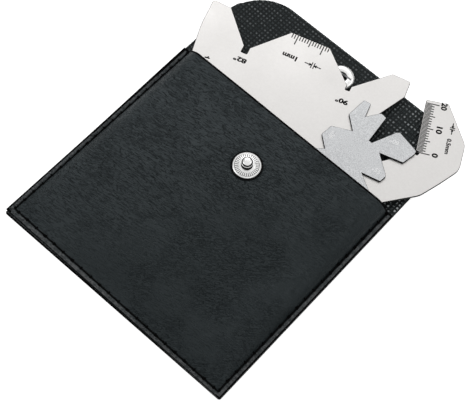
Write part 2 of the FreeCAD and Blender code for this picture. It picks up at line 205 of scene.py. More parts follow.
def place(tree, stretch=(1, 1, 1), angle=0.0):
    # object coordinates; the pattern is drawn out along a direction in the XY plane
    coordinate = addNode(tree, "TexCoord")
    mapping = addNode(tree, "Mapping", {"vector_type": "TEXTURE"}, Scale=stretch)
    mapping.inputs["Rotation"].default_value = (0, 0, math.radians(angle))
    tree.links.new(coordinate.outputs["Object"], mapping.inputs["Vector"])
    return mapping.outputs["Vector"]


def noiseOn(tree, where, size, detail=3.0, roughness=0.5, distortion=0.0):
    # size is the rough width in mm of one blot
    node = addNode(tree, "TexNoise", Scale=1000.0 / size, Detail=detail, Roughness=roughness)
    node.inputs["Distortion"].default_value = distortion
    tree.links.new(where, node.inputs["Vector"])
    return node.outputs["Fac"]


def remap(tree, source, fromLow, fromHigh, low, high, soft=False):
    node = addNode(tree, "MapRange", {"interpolation_type": "SMOOTHSTEP" if soft else "LINEAR"})
    node.inputs["From Min"].default_value = fromLow
    node.inputs["From Max"].default_value = fromHigh
    node.inputs["To Min"].default_value = low
    node.inputs["To Max"].default_value = high
    tree.links.new(source, node.inputs["Value"])
    return node.outputs["Result"]


def calc(tree, operation, first, second=None):
    node = addNode(tree, "Math", {"operation": operation})
    for index, value in enumerate((first, second)):
        if value is None:
            continue
        if isinstance(value, (int, float)):
            node.inputs[index].default_value = value
        else:
            tree.links.new(value, node.inputs[index])
    return node.outputs["Value"]


def mixColours(tree, share, first, second):
    node = addNode(tree, "Mix", {"data_type": "RGBA"})
    colourInputs = [entry for entry in node.inputs if entry.type == "RGBA"]
    for entry, colour in zip(colourInputs, (first, second)):
        if isinstance(colour, tuple):
            entry.default_value = (*colour, 1)
        else:
            tree.links.new(colour, entry)
    tree.links.new(share, node.inputs["Factor"])
    return [result for result in node.outputs if result.type == "RGBA"][0]


def bump(tree, height, depth, strength, after=None):
    # depth in mm
    node = addNode(tree, "Bump", Distance=depth * mm, Strength=strength)
    tree.links.new(height, node.inputs["Height"])
    if after is not None:
        tree.links.new(after, node.inputs["Normal"])
    return node.outputs["Normal"]


def axes(tree, where):
    node = addNode(tree, "SeparateXYZ")
    tree.links.new(where, node.inputs["Vector"])
    return node.outputs["X"], node.outputs["Y"]


# colours, pattern sizes in mm, angles in degrees and bump depths in mm
leatherLook = {
    "dark": (0.0050, 0.0090, 0.0102),
    "light": (0.0280, 0.0355, 0.0385),
    "creaseShade": (0.0012, 0.0018, 0.0020),
    "rim": (0.105, 0.106, 0.108),
    "specular": 0.34,
    "tint": (0.92, 1.0, 1.03),
    "roughness": (0.34, 0.50),
    "patchSize": 24,
    "blotSize": 3.2,
    "paintedLightFrom": -38,
    "paintedLightTo": 58,
    "leftCreases": {"angle": 8.0, "size": 0.62, "stretch": 6.0},
    "rightCreases": {"angle": 38.0, "size": 0.7, "stretch": 4.0},
    "creaseWidth": 0.035,  # in the noise's own range
    "grainSize": 0.75,
    "poreSize": 0.42,
    "creaseDepth": 0.42,
    "grainDepth": 0.10,
    "poreDepth": 0.06,
}


def creaseLines(tree, facts):
    # thin curving grooves, drawn out along one direction: one in the groove, nothing beside it
    where = place(tree, (facts["stretch"], 1, 1), facts["angle"])
    field = noiseOn(tree, where, facts["size"], 2.0, 0.5, 0.2)
    away = calc(tree, "ABSOLUTE", calc(tree, "SUBTRACT", field, 0.5))
    return remap(tree, away, 0.0, leatherLook["creaseWidth"], 1.0, 0.0, True)


def grainCells(tree, where, size):
    # rounded grain cells, low along the joints between them
    node = addNode(tree, "TexVoronoi", {"feature": "DISTANCE_TO_EDGE"}, Scale=1000.0 / size)
    tree.links.new(where, node.inputs["Vector"])
    return remap(tree, node.outputs["Distance"], 0.0, 0.28, 0.0, 1.0, True)


def makeLeather():
    look = leatherLook
    material, tree, shader = startMaterial("leather")
    where = place(tree)
    alongX, alongY = axes(tree, where)
    patches = noiseOn(tree, where, look["patchSize"], 4, 0.6)
    blots = noiseOn(tree, where, look["blotSize"], 4, 0.65)
    patchShare = calc(tree, "MULTIPLY", patches, 0.45)
    blotShare = calc(tree, "MULTIPLY", blots, 0.15)
    mottleAndPaintedLight = calc(tree, "ADD", patchShare, blotShare)

    # painted light and shade: paler towards the left side and the mouth, darker towards the right
    acrossFront = calc(tree, "SUBTRACT", calc(tree, "MULTIPLY", alongY, 0.8), alongX)
    paintedLight = remap(tree, acrossFront, look["paintedLightFrom"] * mm, look["paintedLightTo"] * mm, -0.25, 0.24, True)
    mottleAndPaintedLight = calc(tree, "ADD", mottleAndPaintedLight, paintedLight)
    tone = mixColours(tree, remap(tree, mottleAndPaintedLight, 0.04, 0.54, 0, 1), look["dark"], look["light"])

    # creases from handling: fine and dense on the left, coarser patches on the right
    leftCreases = creaseLines(tree, look["leftCreases"])
    rightCreases = creaseLines(tree, look["rightCreases"])
    handled = calc(tree, "ADD", acrossFront, calc(tree, "MULTIPLY", patches, 0.05))
    worked = remap(tree, noiseOn(tree, where, 7, 3, 0.6), 0.40, 0.60, 0.6, 1.0, True)
    leftShare = calc(tree, "MULTIPLY", remap(tree, handled, 0.005, 0.060, 0.16, 1.0, True), worked)
    rightShare = remap(tree, noiseOn(tree, where, 17, 2, 0.5), 0.46, 0.66, 0.0, 0.5, True)
    leftGroove = calc(tree, "MULTIPLY", leftCreases, leftShare)
    rightGroove = calc(tree, "MULTIPLY", rightCreases, rightShare)
    groove = calc(tree, "MAXIMUM", leftGroove, rightGroove)
    # painted shade: the crease grooves are darkened in colour
    creaseShaded = mixColours(tree, calc(tree, "MULTIPLY", groove, 0.22), tone, look["creaseShade"])

    # the rim outside the seam is rubbed pale, up to the mouth
    fromSide = calc(tree, "ABSOLUTE", alongX)
    sideRim = remap(tree, fromSide, (seam["line"] + 0.3) * mm, (seam["line"] + 0.7) * mm, 0.0, 1.0, True)
    endRim = remap(tree, alongY, -(bottomSeam + 0.7) * mm, -(bottomSeam + 0.3) * mm, 1.0, 0.0, True)
    inFront = remap(tree, alongY, (pouch["mouth"] - 0.15) * mm, (pouch["mouth"] + 0.15) * mm, 1.0, 0.0)
    rim = calc(tree, "MULTIPLY", calc(tree, "MAXIMUM", sideRim, endRim), inFront)
    wearAndGlint = remap(tree, noiseOn(tree, where, 0.9, 4, 0.8), 0.42, 0.62, 0.1, 1.0)
    colour = mixColours(tree, calc(tree, "MULTIPLY", rim, wearAndGlint), creaseShaded, look["rim"])
    tree.links.new(colour, shader.inputs["Base Color"])

    cells = grainCells(tree, place(tree, (1.6, 1, 1), 20.0), look["grainSize"])
    cellShare = calc(tree, "ADD", calc(tree, "MULTIPLY", leftShare, 0.7), 0.3)
    cells = calc(tree, "MULTIPLY", cells, cellShare)
    pores = noiseOn(tree, where, look["poreSize"], 2, 0.6)
    rough = remap(tree, noiseOn(tree, where, 6, 4, 0.6), 0.3, 0.7, *look["roughness"])
    rough = calc(tree, "ADD", rough, calc(tree, "MULTIPLY", groove, 0.3))
    tree.links.new(rough, shader.inputs["Roughness"])
    shader.inputs["Specular IOR Level"].default_value = look["specular"]
    shader.inputs["Specular Tint"].default_value = (*look["tint"], 1)
    soft = bump(tree, patches, 0.5, 0.4)
    lines = bump(tree, calc(tree, "SUBTRACT", 1.0, groove), look["creaseDepth"], 1.0, soft)
    fine = bump(tree, cells, look["grainDepth"], 0.9, lines)
    tree.links.new(bump(tree, pores, look["poreDepth"], 0.7, fine), shader.inputs["Normal"])
    return material


def makeEdgePaintAndShade():
    # the black painted cut edge of the leather, also laid as painted shade along the mouth, in the seam
    # groove and in bands beside the edges
    material, tree, shader = startMaterial("edgePaintAndShade")
    fibres = noiseOn(tree, place(tree), 0.4, 4, 0.6)
    colour = mixColours(tree, fibres, (0.0010, 0.0010, 0.0010), (0.0040, 0.0040, 0.0040))
    tree.links.new(colour, shader.inputs["Base Color"])
    shader.inputs["Roughness"].default_value = 0.8
    shader.inputs["Specular IOR Level"].default_value = 0.03
    tree.links.new(bump(tree, fibres, 0.08, 0.6), shader.inputs["Normal"])
    return material


liningLook = {
    "coatDark": (0.0020, 0.0042, 0.0046),
    "coatLight": (0.0125, 0.0170, 0.0178),
    "wearAndGlint": (0.40, 0.42, 0.43),
    "lines": (0.0004, 0.0005, 0.0005),
    "gloss": (0.10, 0.22),
    "specular": 0.30,
    "tint": (0.9, 1.0, 1.02),
}


def makeLining():
    # black coated lining: glossy pillows, dull pressed lines between them
    look = liningLook
    material, tree, shader = startMaterial("embossedLining")
    where = place(tree)
    alongX, alongY = axes(tree, where)
    grit = noiseOn(tree, where, 0.5, 3, 0.65)
    cloud = noiseOn(tree, where, 9, 3, 0.6)
    lines = None
    tops = None
    for value in (alongX, alongY):
        turns = calc(tree, "MULTIPLY", value, math.tau / (emboss["pitch"] * mm))
        cosine = calc(tree, "COSINE", turns)
        near = remap(tree, cosine, 0.3, 0.9, 0.0, 1.0, True)
        lines = near if lines is None else calc(tree, "MAXIMUM", lines, near)
        top = remap(tree, cosine, -0.6, 0.35, 1.0, 0.0, True)
        tops = top if tops is None else calc(tree, "MULTIPLY", tops, top)
    # painted glints: some pillow tops are painted pale, most of all to the right, standing in for
    # highlights
    wearAndGlint = remap(tree, noiseOn(tree, where, 2.0, 3, 0.6), 0.46, 0.60, 0.0, 1.0, True)
    glintToRight = remap(tree, alongX, 15 * mm, 40 * mm, 0.22, 1.0, True)
    paintedGlint = calc(tree, "MULTIPLY", calc(tree, "MULTIPLY", tops, wearAndGlint), glintToRight)
    coat = mixColours(tree, grit, look["coatDark"], look["coatLight"])
    coat = mixColours(tree, paintedGlint, coat, look["wearAndGlint"])
    # painted shade: the pressed lines between the pillows are darkened to near-black
    tree.links.new(mixColours(tree, lines, coat, look["lines"]), shader.inputs["Base Color"])
    gloss = remap(tree, cloud, 0.3, 0.7, *look["gloss"])
    rough = calc(tree, "ADD", gloss, calc(tree, "MULTIPLY", lines, 0.4))
    tree.links.new(rough, shader.inputs["Roughness"])
    shader.inputs["Specular IOR Level"].default_value = look["specular"]
    shader.inputs["Specular Tint"].default_value = (*look["tint"], 1)
    tree.links.new(bump(tree, grit, 0.10, 0.9), shader.inputs["Normal"])
    return material


def makeSteel(name, dark, light, roughness, grainAngle, grainDepth, speckSize):
    # ground sheet steel: fine drawn grain, softly clouded polish
    material, tree, shader = startMaterial(name)
    where = place(tree)
    grain = noiseOn(tree, place(tree, (16, 1, 1), grainAngle), 0.5, 3, 0.65)
    cloud = noiseOn(tree, where, 14, 4, 0.55)
    speck = noiseOn(tree, where, speckSize, 3, 0.7)
    colour = mixColours(tree, remap(tree, speck, 0.3, 0.7, 0, 1), dark, light)
    tree.links.new(colour, shader.inputs["Base Color"])
    tree.links.new(remap(tree, cloud, 0.3, 0.7, *roughness), shader.inputs["Roughness"])
    shader.inputs["Metallic"].default_value = 1.0
    fine = bump(tree, grain, grainDepth, 0.5)
    tree.links.new(bump(tree, speck, grainDepth, 0.4, fine), shader.inputs["Normal"])
    return material


def makeEdgeShade(name, dark, light):
    # near-black rough finish with fine shear marks, laid as painted shade: on the plates' cut sides and
    # broken edges, over the duller sheared steel, and in the snap's recesses
    material, tree, shader = startMaterial(name)
    shear = noiseOn(tree, place(tree, (1, 1, 5)), 0.3, 3, 0.6)
    tree.links.new(mixColours(tree, shear, dark, light), shader.inputs["Base Color"])
    shader.inputs["Roughness"].default_value = 0.7
    shader.inputs["Specular IOR Level"].default_value = 0.08
    tree.links.new(bump(tree, shear, 0.02, 0.6), shader.inputs["Normal"])
    return material


def makeChrome(name, colour, roughness):
    material, tree, shader = startMaterial(name)
    smear = noiseOn(tree, place(tree), 2.4, 3, 0.5)
    duller = tuple(0.92 * part for part in colour)
    tree.links.new(mixColours(tree, smear, duller, colour), shader.inputs["Base Color"])
    tree.links.new(remap(tree, smear, 0.3, 0.7, *roughness), shader.inputs["Roughness"])
    shader.inputs["Metallic"].default_value = 1.0
    tree.links.new(bump(tree, smear, 0.01, 0.3), shader.inputs["Normal"])
    return material


def makeThreadMaterial():
    material, tree, shader = startMaterial("waxedThread")
    fibre = noiseOn(tree, place(tree), 0.2, 3, 0.6, 0.6)
    colour = mixColours(tree, fibre, (0.0008, 0.0008, 0.0008), (0.0040, 0.0040, 0.0040))
    tree.links.new(colour, shader.inputs["Base Color"])
    shader.inputs["Roughness"].default_value = 0.7
    shader.inputs["Specular IOR Level"].default_value = 0.06
    tree.links.new(bump(tree, fibre, 0.04, 0.7), shader.inputs["Normal"])
    return material


def makeEtch(name, dark, light):
    # etched marking, a little uneven where the etch took less
    material, tree, shader = startMaterial(name)
    fade = noiseOn(tree, place(tree), 0.6, 3, 0.6)
    colour = mixColours(tree, remap(tree, fade, 0.3, 0.7, 0, 1), dark, light)
    tree.links.new(colour, shader.inputs["Base Color"])
    shader.inputs["Roughness"].default_value = 0.8
    shader.inputs["Specular IOR Level"].default_value = 0.04
    tree.links.new(bump(tree, fade, 0.005, 0.4), shader.inputs["Normal"])
    return material


leather = makeLeather()
edgePaintAndShade = makeEdgePaintAndShade()
lining = makeLining()
plateSteel = makeSteel(
    "satinSteel", (0.742, 0.727, 0.712), (0.777, 0.762, 0.747), (0.34, 0.44), 17.5, 0.004, 0.9
)
plateEdgeShade = makeEdgeShade("cutSteelEdgeShade", (0.006, 0.006, 0.006), (0.035, 0.035, 0.035))
starSteel = makeSteel(
    "grainySteel", (0.43, 0.438, 0.448), (0.80, 0.810, 0.820), (0.34, 0.50), 40.0, 0.03, 0.34
)
starEdgeShade = makeEdgeShade("cutStarEdgeShade", (0.003, 0.003, 0.003), (0.018, 0.018, 0.018))
chrome = makeChrome("brightChrome", (0.98, 0.98, 0.97), (0.22, 0.32))
chromeShade = makeEdgeShade("chromePaintedShade", (0.0005, 0.0005, 0.0005), (0.004, 0.004, 0.004))
springWire = makeChrome("springWire", (0.42, 0.42, 0.44), (0.22, 0.34))
threadMaterial = makeThreadMaterial()
blackEtch = makeEtch("blackEtch", (0.001, 0.001, 0.001), (0.006, 0.006, 0.006))
greyEtch = makeEtch("greyEtch", (0.025, 0.025, 0.025), (0.08, 0.08, 0.08))
paleStamp = makeEtch("paleStamp", (0.84, 0.85, 0.86), (0.97, 0.97, 0.97))
print("materials made")


# camera, light and floor

# angles in degrees, lengths in mm
view = {
    "azimuth": 36.044,
    "elevation": 64.790,
    "roll": 6.773,
    "distance": 413.36,
    "target": (4.763, 10.804, 0.0),
    "lens": 93.80,
}


def placeCamera():
    azimuth = math.radians(view["azimuth"])
    elevation = math.radians(view["elevation"])
    roll = math.radians(view["roll"])
    reach = math.cos(elevation)
    back = Vector((math.sin(azimuth) * reach, -math.cos(azimuth) * reach, math.sin(elevation)))
    level = Vector((math.cos(azimuth), math.sin(azimuth), 0))
    upright = back.cross(level)
    right = level * math.cos(roll) + upright * math.sin(roll)
    up = upright * math.cos(roll) - level * math.sin(roll)
    spot = (Vector(view["target"]) + back * view["distance"]) * mm
    bpy.ops.object.camera_add()
    camera = bpy.context.object
    camera.name = "photoCamera"
    camera.matrix_world = Matrix.Translation(spot) @ Matrix((right, up, back)).transposed().to_4x4()
    camera.data.lens = view["lens"]
    camera.data.sensor_width = 36
    camera.data.clip_start = 0.01
    bpy.context.scene.camera = camera


# places and sizes in mm, power in watts
light = {
    "aim": (0, 25, 0),
    "skyTop": 0.80,
    "skyEdge": 0.15,
    "frontLeft": {"spot": (-420, -330, 430), "size": 380, "power": 0.5},
    "frontRight": {"spot": (430, -180, 420), "size": 380, "power": 0.10},
    "backLeft": {"spot": (-400, 550, 590), "size": 420, "power": 0.85},
    "backRight": {"spot": (220, 480, 600), "size": 380, "power": 0.32},
}


def lightStudio():
    # a white room, darker towards the horizon, and four large soft lamps
    world = bpy.data.worlds.new("studio")
    bpy.context.scene.world = world
    world.use_nodes = True
    tree = world.node_tree
    background = tree.nodes["Background"]
    background.inputs["Color"].default_value = (1, 1, 1, 1)
    direction = addNode(tree, "TexCoord")
    split = addNode(tree, "SeparateXYZ")
    tree.links.new(direction.outputs["Generated"], split.inputs["Vector"])
    brightness = remap(tree, split.outputs["Z"], 0.1, 0.95, light["skyEdge"], light["skyTop"])
    tree.links.new(brightness, background.inputs["Strength"])
    for name in ("frontLeft", "frontRight", "backLeft", "backRight"):
        facts = light[name]
        deselectAll()
        bpy.ops.object.light_add(type="AREA", location=[part * mm for part in facts["spot"]])
        lamp = bpy.context.object
        lamp.name = name + "Lamp"
        aim = Vector(light["aim"]) - Vector(facts["spot"])
        lamp.rotation_euler = aim.to_track_quat("-Z", "Y").to_euler()
        lamp.data.size = facts["size"] * mm
        lamp.data.energy = facts["power"]


def layFloor():
    deselectAll()
    bpy.ops.mesh.primitive_plane_add(size=4.0, location=(0, 0, -0.02 * mm))
    floor = bpy.context.object
    settle(floor, "studioFloor")
    material, tree, shader = startMaterial("whiteSweep")
    cloud = noiseOn(tree, place(tree), 500, 2, 0.5)
    tone = mixColours(tree, cloud, (0.94, 0.94, 0.94), (0.96, 0.96, 0.96))
    tree.links.new(tone, shader.inputs["Base Color"])
    tree.links.new(tone, shader.inputs["Emission Color"])
    shader.inputs["Emission Strength"].default_value = 0.7
    shader.inputs["Roughness"].default_value = 0.9
    shader.inputs["Specular IOR Level"].default_value = 0.1
    floor.data.materials.append(material)


placeCamera()
lightStudio()
layFloor()
bpy.context.scene.view_settings.view_transform = "Standard"
print("camera, lights and floor placed")


# soft pieces: leather and lining

def stretched(share, half, zone, zoneShare):
    # spreads grid lines so that a zone near each edge gets more of them
    side = 1 if share >= 0 else -1
    size = abs(share)
    inner = 1 - zoneShare
    if size < inner:
        return side * size / inner * (half - zone)
    return side * (half - zone + (size - inner) / zoneShare * zone)


def riseAlong(y):
    # height of the raised middle above the rim, as the frame has it, with softened bends
    full = frontTop - 2 * panel
    atStar = full - (pouch["mouth"] - pouch["starReach"]) * math.tan(tilt)
    stations = [
        (-pouch["bottom"], 0.0),
        (-pouch["bottomFoot"] + 0.2, 0.0),
        (pouch["plateEnd"] - 1.0, pouch["plateEndRise"]),
        (pouch["starReach"], atStar),
        (pouch["mouth"], full),
    ]
    total = 0.0
    offsets = (-2.4, -1.2, 0.0, 1.2, 2.4)
    for offset in offsets:
        here = min(pouch["mouth"], max(-pouch["bottom"], y + offset))
        for before, after in zip(stations, stations[1:]):
            if here <= after[0]:
                share = (here - before[0]) / (after[0] - before[0])
                total += before[1] + share * (after[1] - before[1])
                break
    return total / len(offsets) * smoothStep(-pouch["bottomFoot"] - 0.2, -pouch["bottomFoot"] + 2.6, y)


def riseAcross(x, height):
    # arc over each side of the raised middle
    foot = pouch["seamFoot"] + 0.85 * panel
    width = pouch["ribWidth"]
    inside = foot - abs(x)
    if height <= 0 or inside <= 0:
        return 0.0
    if inside >= width:
        return height
    radius = (width * width + height * height) / (2 * height)
    run = width - inside
    return height - radius + math.sqrt(max(0.0, radius * radius - run * run))


def seamDistance(x, y):
    # distance to the stitch line, and distance along it to the next needle hole
    sideGap = abs(abs(x) - seam["line"])
    bottomGap = abs(y + bottomSeam)
    if y < -bottomSeam:
        sideGap = math.hypot(sideGap, y + bottomSeam)
    if abs(x) > seam["line"]:
        bottomGap = math.hypot(bottomGap, abs(x) - seam["line"])
    if sideGap < bottomGap:
        beats = (y - (pouch["mouth"] - seam["fromMouth"])) / seam["pitch"]
    else:
        beats = x / seam["pitch"] + 0.5
    return min(sideGap, bottomGap), abs(beats - round(beats)) * seam["pitch"]


# how much wider, in mm, the rim is at the bottom's left end and at the left side's upper end
uneven = {"backBottom": 1.4, "frontBottom": 0.6, "leftSide": 0.45}


def skewAt(x, most):
    return most * (0.5 - x / pouch["width"])


def pastSeam(distance):
    # 0 on the seam's side, 1 from 0.8 mm outside it
    return min(1.0, max(0.0, (distance - 0.3) / 0.5))


def trimAskew(piece, most):
    for point in piece.data.vertices:
        outside = pastSeam(-point.co.x / mm - seam["line"])
        point.co.x -= uneven["leftSide"] * outside * smoothStep(-10, 45, point.co.y / mm) * mm
        beyond = pastSeam(-point.co.y / mm - bottomSeam)
        point.co.y -= skewAt(point.co.x / mm, most) * beyond * mm


# how high the leather undulates, and how far round the stud it is pressed flat
rumple = {"broad": 0.16, "finer": 0.05, "studFlat": 5.6, "studClear": 9.0}

# soft wrinkles pressed in by use: place, direction in degrees, length, width and height in mm
wrinkles = [
    (18.9, -35.6, 60, 6.5, 1.1, -0.15),
    (23.8, -33.4, 66, 8.0, 1.2, -0.20),
    (29.2, -34.0, 70, 7.5, 1.1, -0.18),
    (31.5, -29.6, 62, 6.5, 1.1, -0.12),
    (35.2, -33.2, 96, 7.0, 1.1, -0.14),
    (39.2, -30.0, 104, 8.0, 1.2, -0.14),
    (41.8, -25.5, 100, 7.0, 1.1, -0.10),
    (-36.0, 8.0, 6, 9.0, 1.3, -0.12),
    (-30.0, 16.0, 12, 10.0, 1.4, -0.12),
    (-24.0, 2.0, 4, 9.0, 1.2, -0.10),
    (-33.0, 27.0, 10, 8.0, 1.2, -0.10),
]


def creaseField(x, y):
    # soft undulation of the leather over the plates inside
    broad = noise.noise(Vector((x * 0.055 + 3.1, y * 0.055 - 1.7, 0.4)))
    finer = noise.noise(Vector((x * 0.16 + y * 0.05, y * 0.30 - x * 0.09, 2.2)))
    height = rumple["broad"] * broad + rumple["finer"] * finer
    for centreX, centreY, angle, length, width, depth in wrinkles:
        cosine = math.cos(math.radians(angle))
        sine = math.sin(math.radians(angle))
        along = (x - centreX) * cosine + (y - centreY) * sine
        across = (y - centreY) * cosine - (x - centreX) * sine
        across += 0.5 * math.sin(along * 0.6 + centreX)
        height += depth * math.exp(-((along / length * 2) ** 2) - (across / width) ** 2)
    studGap = math.hypot(x - snap["x"], y - snap["studY"])
    height *= smoothStep(rumple["studFlat"], rumple["studClear"], studGap)
    return height * smoothStep(0.0, 6.0, 45.0 - abs(x)) * smoothStep(0.0, 5.0, y + 41.0)


def frontSkin(x, y):
    z = 2 * panel + riseAcross(x, riseAlong(y)) + creaseField(x, y)
    gap, holeGap = seamDistance(x, y)
    hole = math.exp(-((holeGap / seam["holeWidth"]) ** 2))
    z -= (seam["groove"] + seam["hole"] * hole) * math.exp(-((gap / seam["grooveWidth"]) ** 2))
    # the rim swells a little, its edge is rounded off, and the stud presses a ring round itself
    edge = min(halfWidth - abs(x), y + pouch["bottom"])
    z += 0.06 * math.exp(-(((edge - 0.85) / 0.5) ** 2))
    z -= 0.10 * (1 - smoothStep(0.0, 0.5, edge))
    studGap = math.hypot(x - snap["x"], y - snap["studY"])
    z -= 0.22 * math.exp(-(((studGap - 5.4) / 0.8) ** 2))
    return z


frontGrid = {"across": 190, "along": 176, "zone": 4.2, "zoneShare": 0.27, "thickness": 0.78}
# widths in mm of the black band along each edge: edge paint widened into painted shade for the dark
# outline, painted shade along the mouth
paintAndShadeWidth = {"left": 0.72, "right": 0.42, "bottom": 0.26, "mouth": 0.62}


def makeFrontLeather():
    grid = frontGrid
    middle = (pouch["mouth"] - pouch["bottom"]) / 2
    halfLength = (pouch["mouth"] + pouch["bottom"]) / 2
    deselectAll()
    bpy.ops.mesh.primitive_grid_add(
        x_subdivisions=grid["across"], y_subdivisions=grid["along"], size=2.0
    )
    piece = bpy.context.object
    for point in piece.data.vertices:
        x = stretched(point.co.x, halfWidth, grid["zone"], grid["zoneShare"])
        y = middle + stretched(point.co.y, halfLength, grid["zone"], grid["zoneShare"])
        point.co = (x * mm, y * mm, frontSkin(x, y) * mm)
    applyModifier(piece, "SOLIDIFY", "thickness", thickness=grid["thickness"] * mm, offset=-1)
    applyModifier(
        piece, "BEVEL", "softEdge", width=0.13 * mm, segments=2, limit_method="ANGLE",
        angle_limit=math.radians(60),
    )
    trimAskew(piece, uneven["frontBottom"])
    smoothShade(piece, 50)
    settle(piece, "frontLeather")
    dress(piece, [leather, edgePaintAndShade], "pouch", "leather", "front_shell")
    # black faces: edge paint widened into painted shade along the cut edges, and painted shade along the
    # mouth
    for face in piece.data.polygons:
        x = face.center.x / mm
        y = face.center.y / mm
        edge = min(halfWidth - abs(x), y + pouch["bottom"] + skewAt(x, uneven["frontBottom"]))
        gap, holeGap = seamDistance(x, y)
        # painted shade: the stitch groove and the ground round each needle hole are painted black
        grooveShade = gap < seam["grooveShadeHalf"] or math.hypot(gap, holeGap) < seam["holeRadius"]
        side = "left" if x < -seam["line"] else ("right" if x > seam["line"] else "bottom")
        if edge < paintAndShadeWidth[side] or pouch["mouth"] - y < paintAndShadeWidth["mouth"] or grooveShade:
            face.material_index = 1


def roundCorners(piece, end, radius, steps):
    # bevels the two corners at one end of the flat outline
    bpy.ops.mesh.select_all(action="DESELECT")
    bpy.ops.object.mode_set(mode="OBJECT")
    heights = [point.co.y for point in piece.data.vertices]
    limit = max(heights) if end > 0 else min(heights)
    for point in piece.data.vertices:
        point.select = abs(point.co.y - limit) < 0.01 * mm and abs(point.co.x) > 40 * mm
    bpy.ops.object.mode_set(mode="EDIT")
    bpy.ops.mesh.select_mode(type="VERT")
    bpy.ops.mesh.bevel(offset=radius * mm, segments=steps, affect="VERTICES", offset_type="OFFSET")


def cutAlong(positions, normal):
    # straight cuts through the whole outline, one at each position
    for position in positions:
        spot = [part * position * mm for part in normal]
        bpy.ops.mesh.select_all(action="SELECT")
        bpy.ops.mesh.bisect(plane_co=spot, plane_no=normal)


# half lengths of the bend at the fold and of a wider zone round it, and the rows there
foldZone = {"bend": 1.2, "blend": 2.4, "rowStep": 0.35, "rowsEachSide": 8}


def foldedPanel(thickness, height, rows, columns):
    # back panel and flap in one piece, with rows across the fold so that it can bend there
    fold = pouch["fold"]
    deselectAll()
    bpy.ops.mesh.primitive_plane_add(size=1.0)
    piece = bpy.context.object
    bpy.ops.object.mode_set(mode="EDIT")
    bpy.ops.transform.resize(value=(pouch["width"] * mm, (pouch["flapEnd"] + pouch["bottom"]) * mm, 1))
    bpy.ops.transform.translate(value=(0, (pouch["flapEnd"] - pouch["bottom"]) / 2 * mm, 0))
    roundCorners(piece, 1, pouch["flapRadius"], 24)
    roundCorners(piece, -1, pouch["cornerRadius"], 4)
    cutAlong(rows, (0, 1, 0))
    cutAlong(columns, (1, 0, 0))
    bpy.ops.object.mode_set(mode="OBJECT")
    applyModifier(piece, "SOLIDIFY", "thickness", thickness=thickness * mm, offset=1)
    applyModifier(
        piece, "BEVEL", "softEdge", width=min(0.14, thickness / 4) * mm, segments=2,
        limit_method="ANGLE", angle_limit=math.radians(60),
    )
    lift = math.radians(pouch["flapLift"])
    for point in piece.data.vertices:
        point.co.z += height * mm
        past = point.co.y - fold * mm
        bend = smoothStep(-foldZone["bend"], foldZone["bend"], past / mm) * lift
        if past > 0:
            rise = point.co.z
            point.co.y = fold * mm + past * math.cos(bend) - rise * math.sin(bend)
            point.co.z = past * math.sin(bend) + rise * math.cos(bend)
    return piece


def bendAtFold(piece):
    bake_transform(piece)


def makeBackLeather():
    rows = [-43.1, -42.3, -30, -15, 0, 15, 30, 40, 43, 60, 70]
    most = foldZone["rowsEachSide"]
    rows += [pouch["fold"] + foldZone["rowStep"] * step for step in range(-most, most + 1)]
    piece = foldedPanel(pouch["shell"], 0.0, rows, (-30, -12, 0, 12, 30))
    trimAskew(piece, uneven["backBottom"])
    smoothShade(piece, 50)
    settle(piece, "backLeather")
    piece.data.materials.clear()
    piece.data.materials.append(leather)
    piece.data.materials.append(edgePaintAndShade)
    # black faces: the painted cut sides, and a band along the bottom edge: edge paint widened into
    # painted shade for the dark outline
    for face in piece.data.polygons:
        x = face.center.x / mm
        bottomPaintAndShade = face.center.y / mm + pouch["bottom"] + skewAt(x, uneven["backBottom"]) < 0.5
        if abs(face.normal.z) < 0.8 or bottomPaintAndShade:
            face.material_index = 1
    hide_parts("back_shell", "flap_shell")
    bendAtFold(piece)


def makeInnerLining():
    # the lining's small pillows are real relief wherever it can be seen
    step = emboss["pitch"] / 3
    first = math.ceil(emboss["from"] / step)
    rows = [index * step for index in range(first, int(pouch["flapEnd"] / step) + 1)]
    rows += [-30, -15, 0, 15, 30]
    columns = [index * step for index in range(-int(halfWidth / step), int(halfWidth / step) + 1)]
    piece = foldedPanel(pouch["lining"], pouch["shell"], rows, columns)
    trimAskew(piece, uneven["frontBottom"])
    lift = math.radians(pouch["flapLift"])
    for point in piece.data.vertices:
        past = max(0.0, point.co.y / mm - pouch["fold"])
        local = point.co.z / mm - past * math.tan(lift)
        if local < pouch["shell"] + 0.75 * pouch["lining"] or point.co.y / mm < emboss["from"]:
            continue
        onLine = 0.0
        for value in (point.co.x / mm, point.co.y / mm):
            phase = value / emboss["pitch"]
            onLine = max(onLine, 1.0 - min(1.0, abs(phase - round(phase)) * 3))
        point.co.z -= emboss["depth"] * onLine * mm
    smoothShade(piece, 12)
    settle(piece, "innerLining")
    piece.data.materials.clear()
    piece.data.materials.append(lining)
    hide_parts("back_lining", "flap_lining")
    bendAtFold(piece)


makeFrontLeather()
makeBackLeather()
makeInnerLining()
nodes["front_lining"].data.materials.clear()
nodes["front_lining"].data.materials.append(lining)
print("leather and lining made")


# seam threads

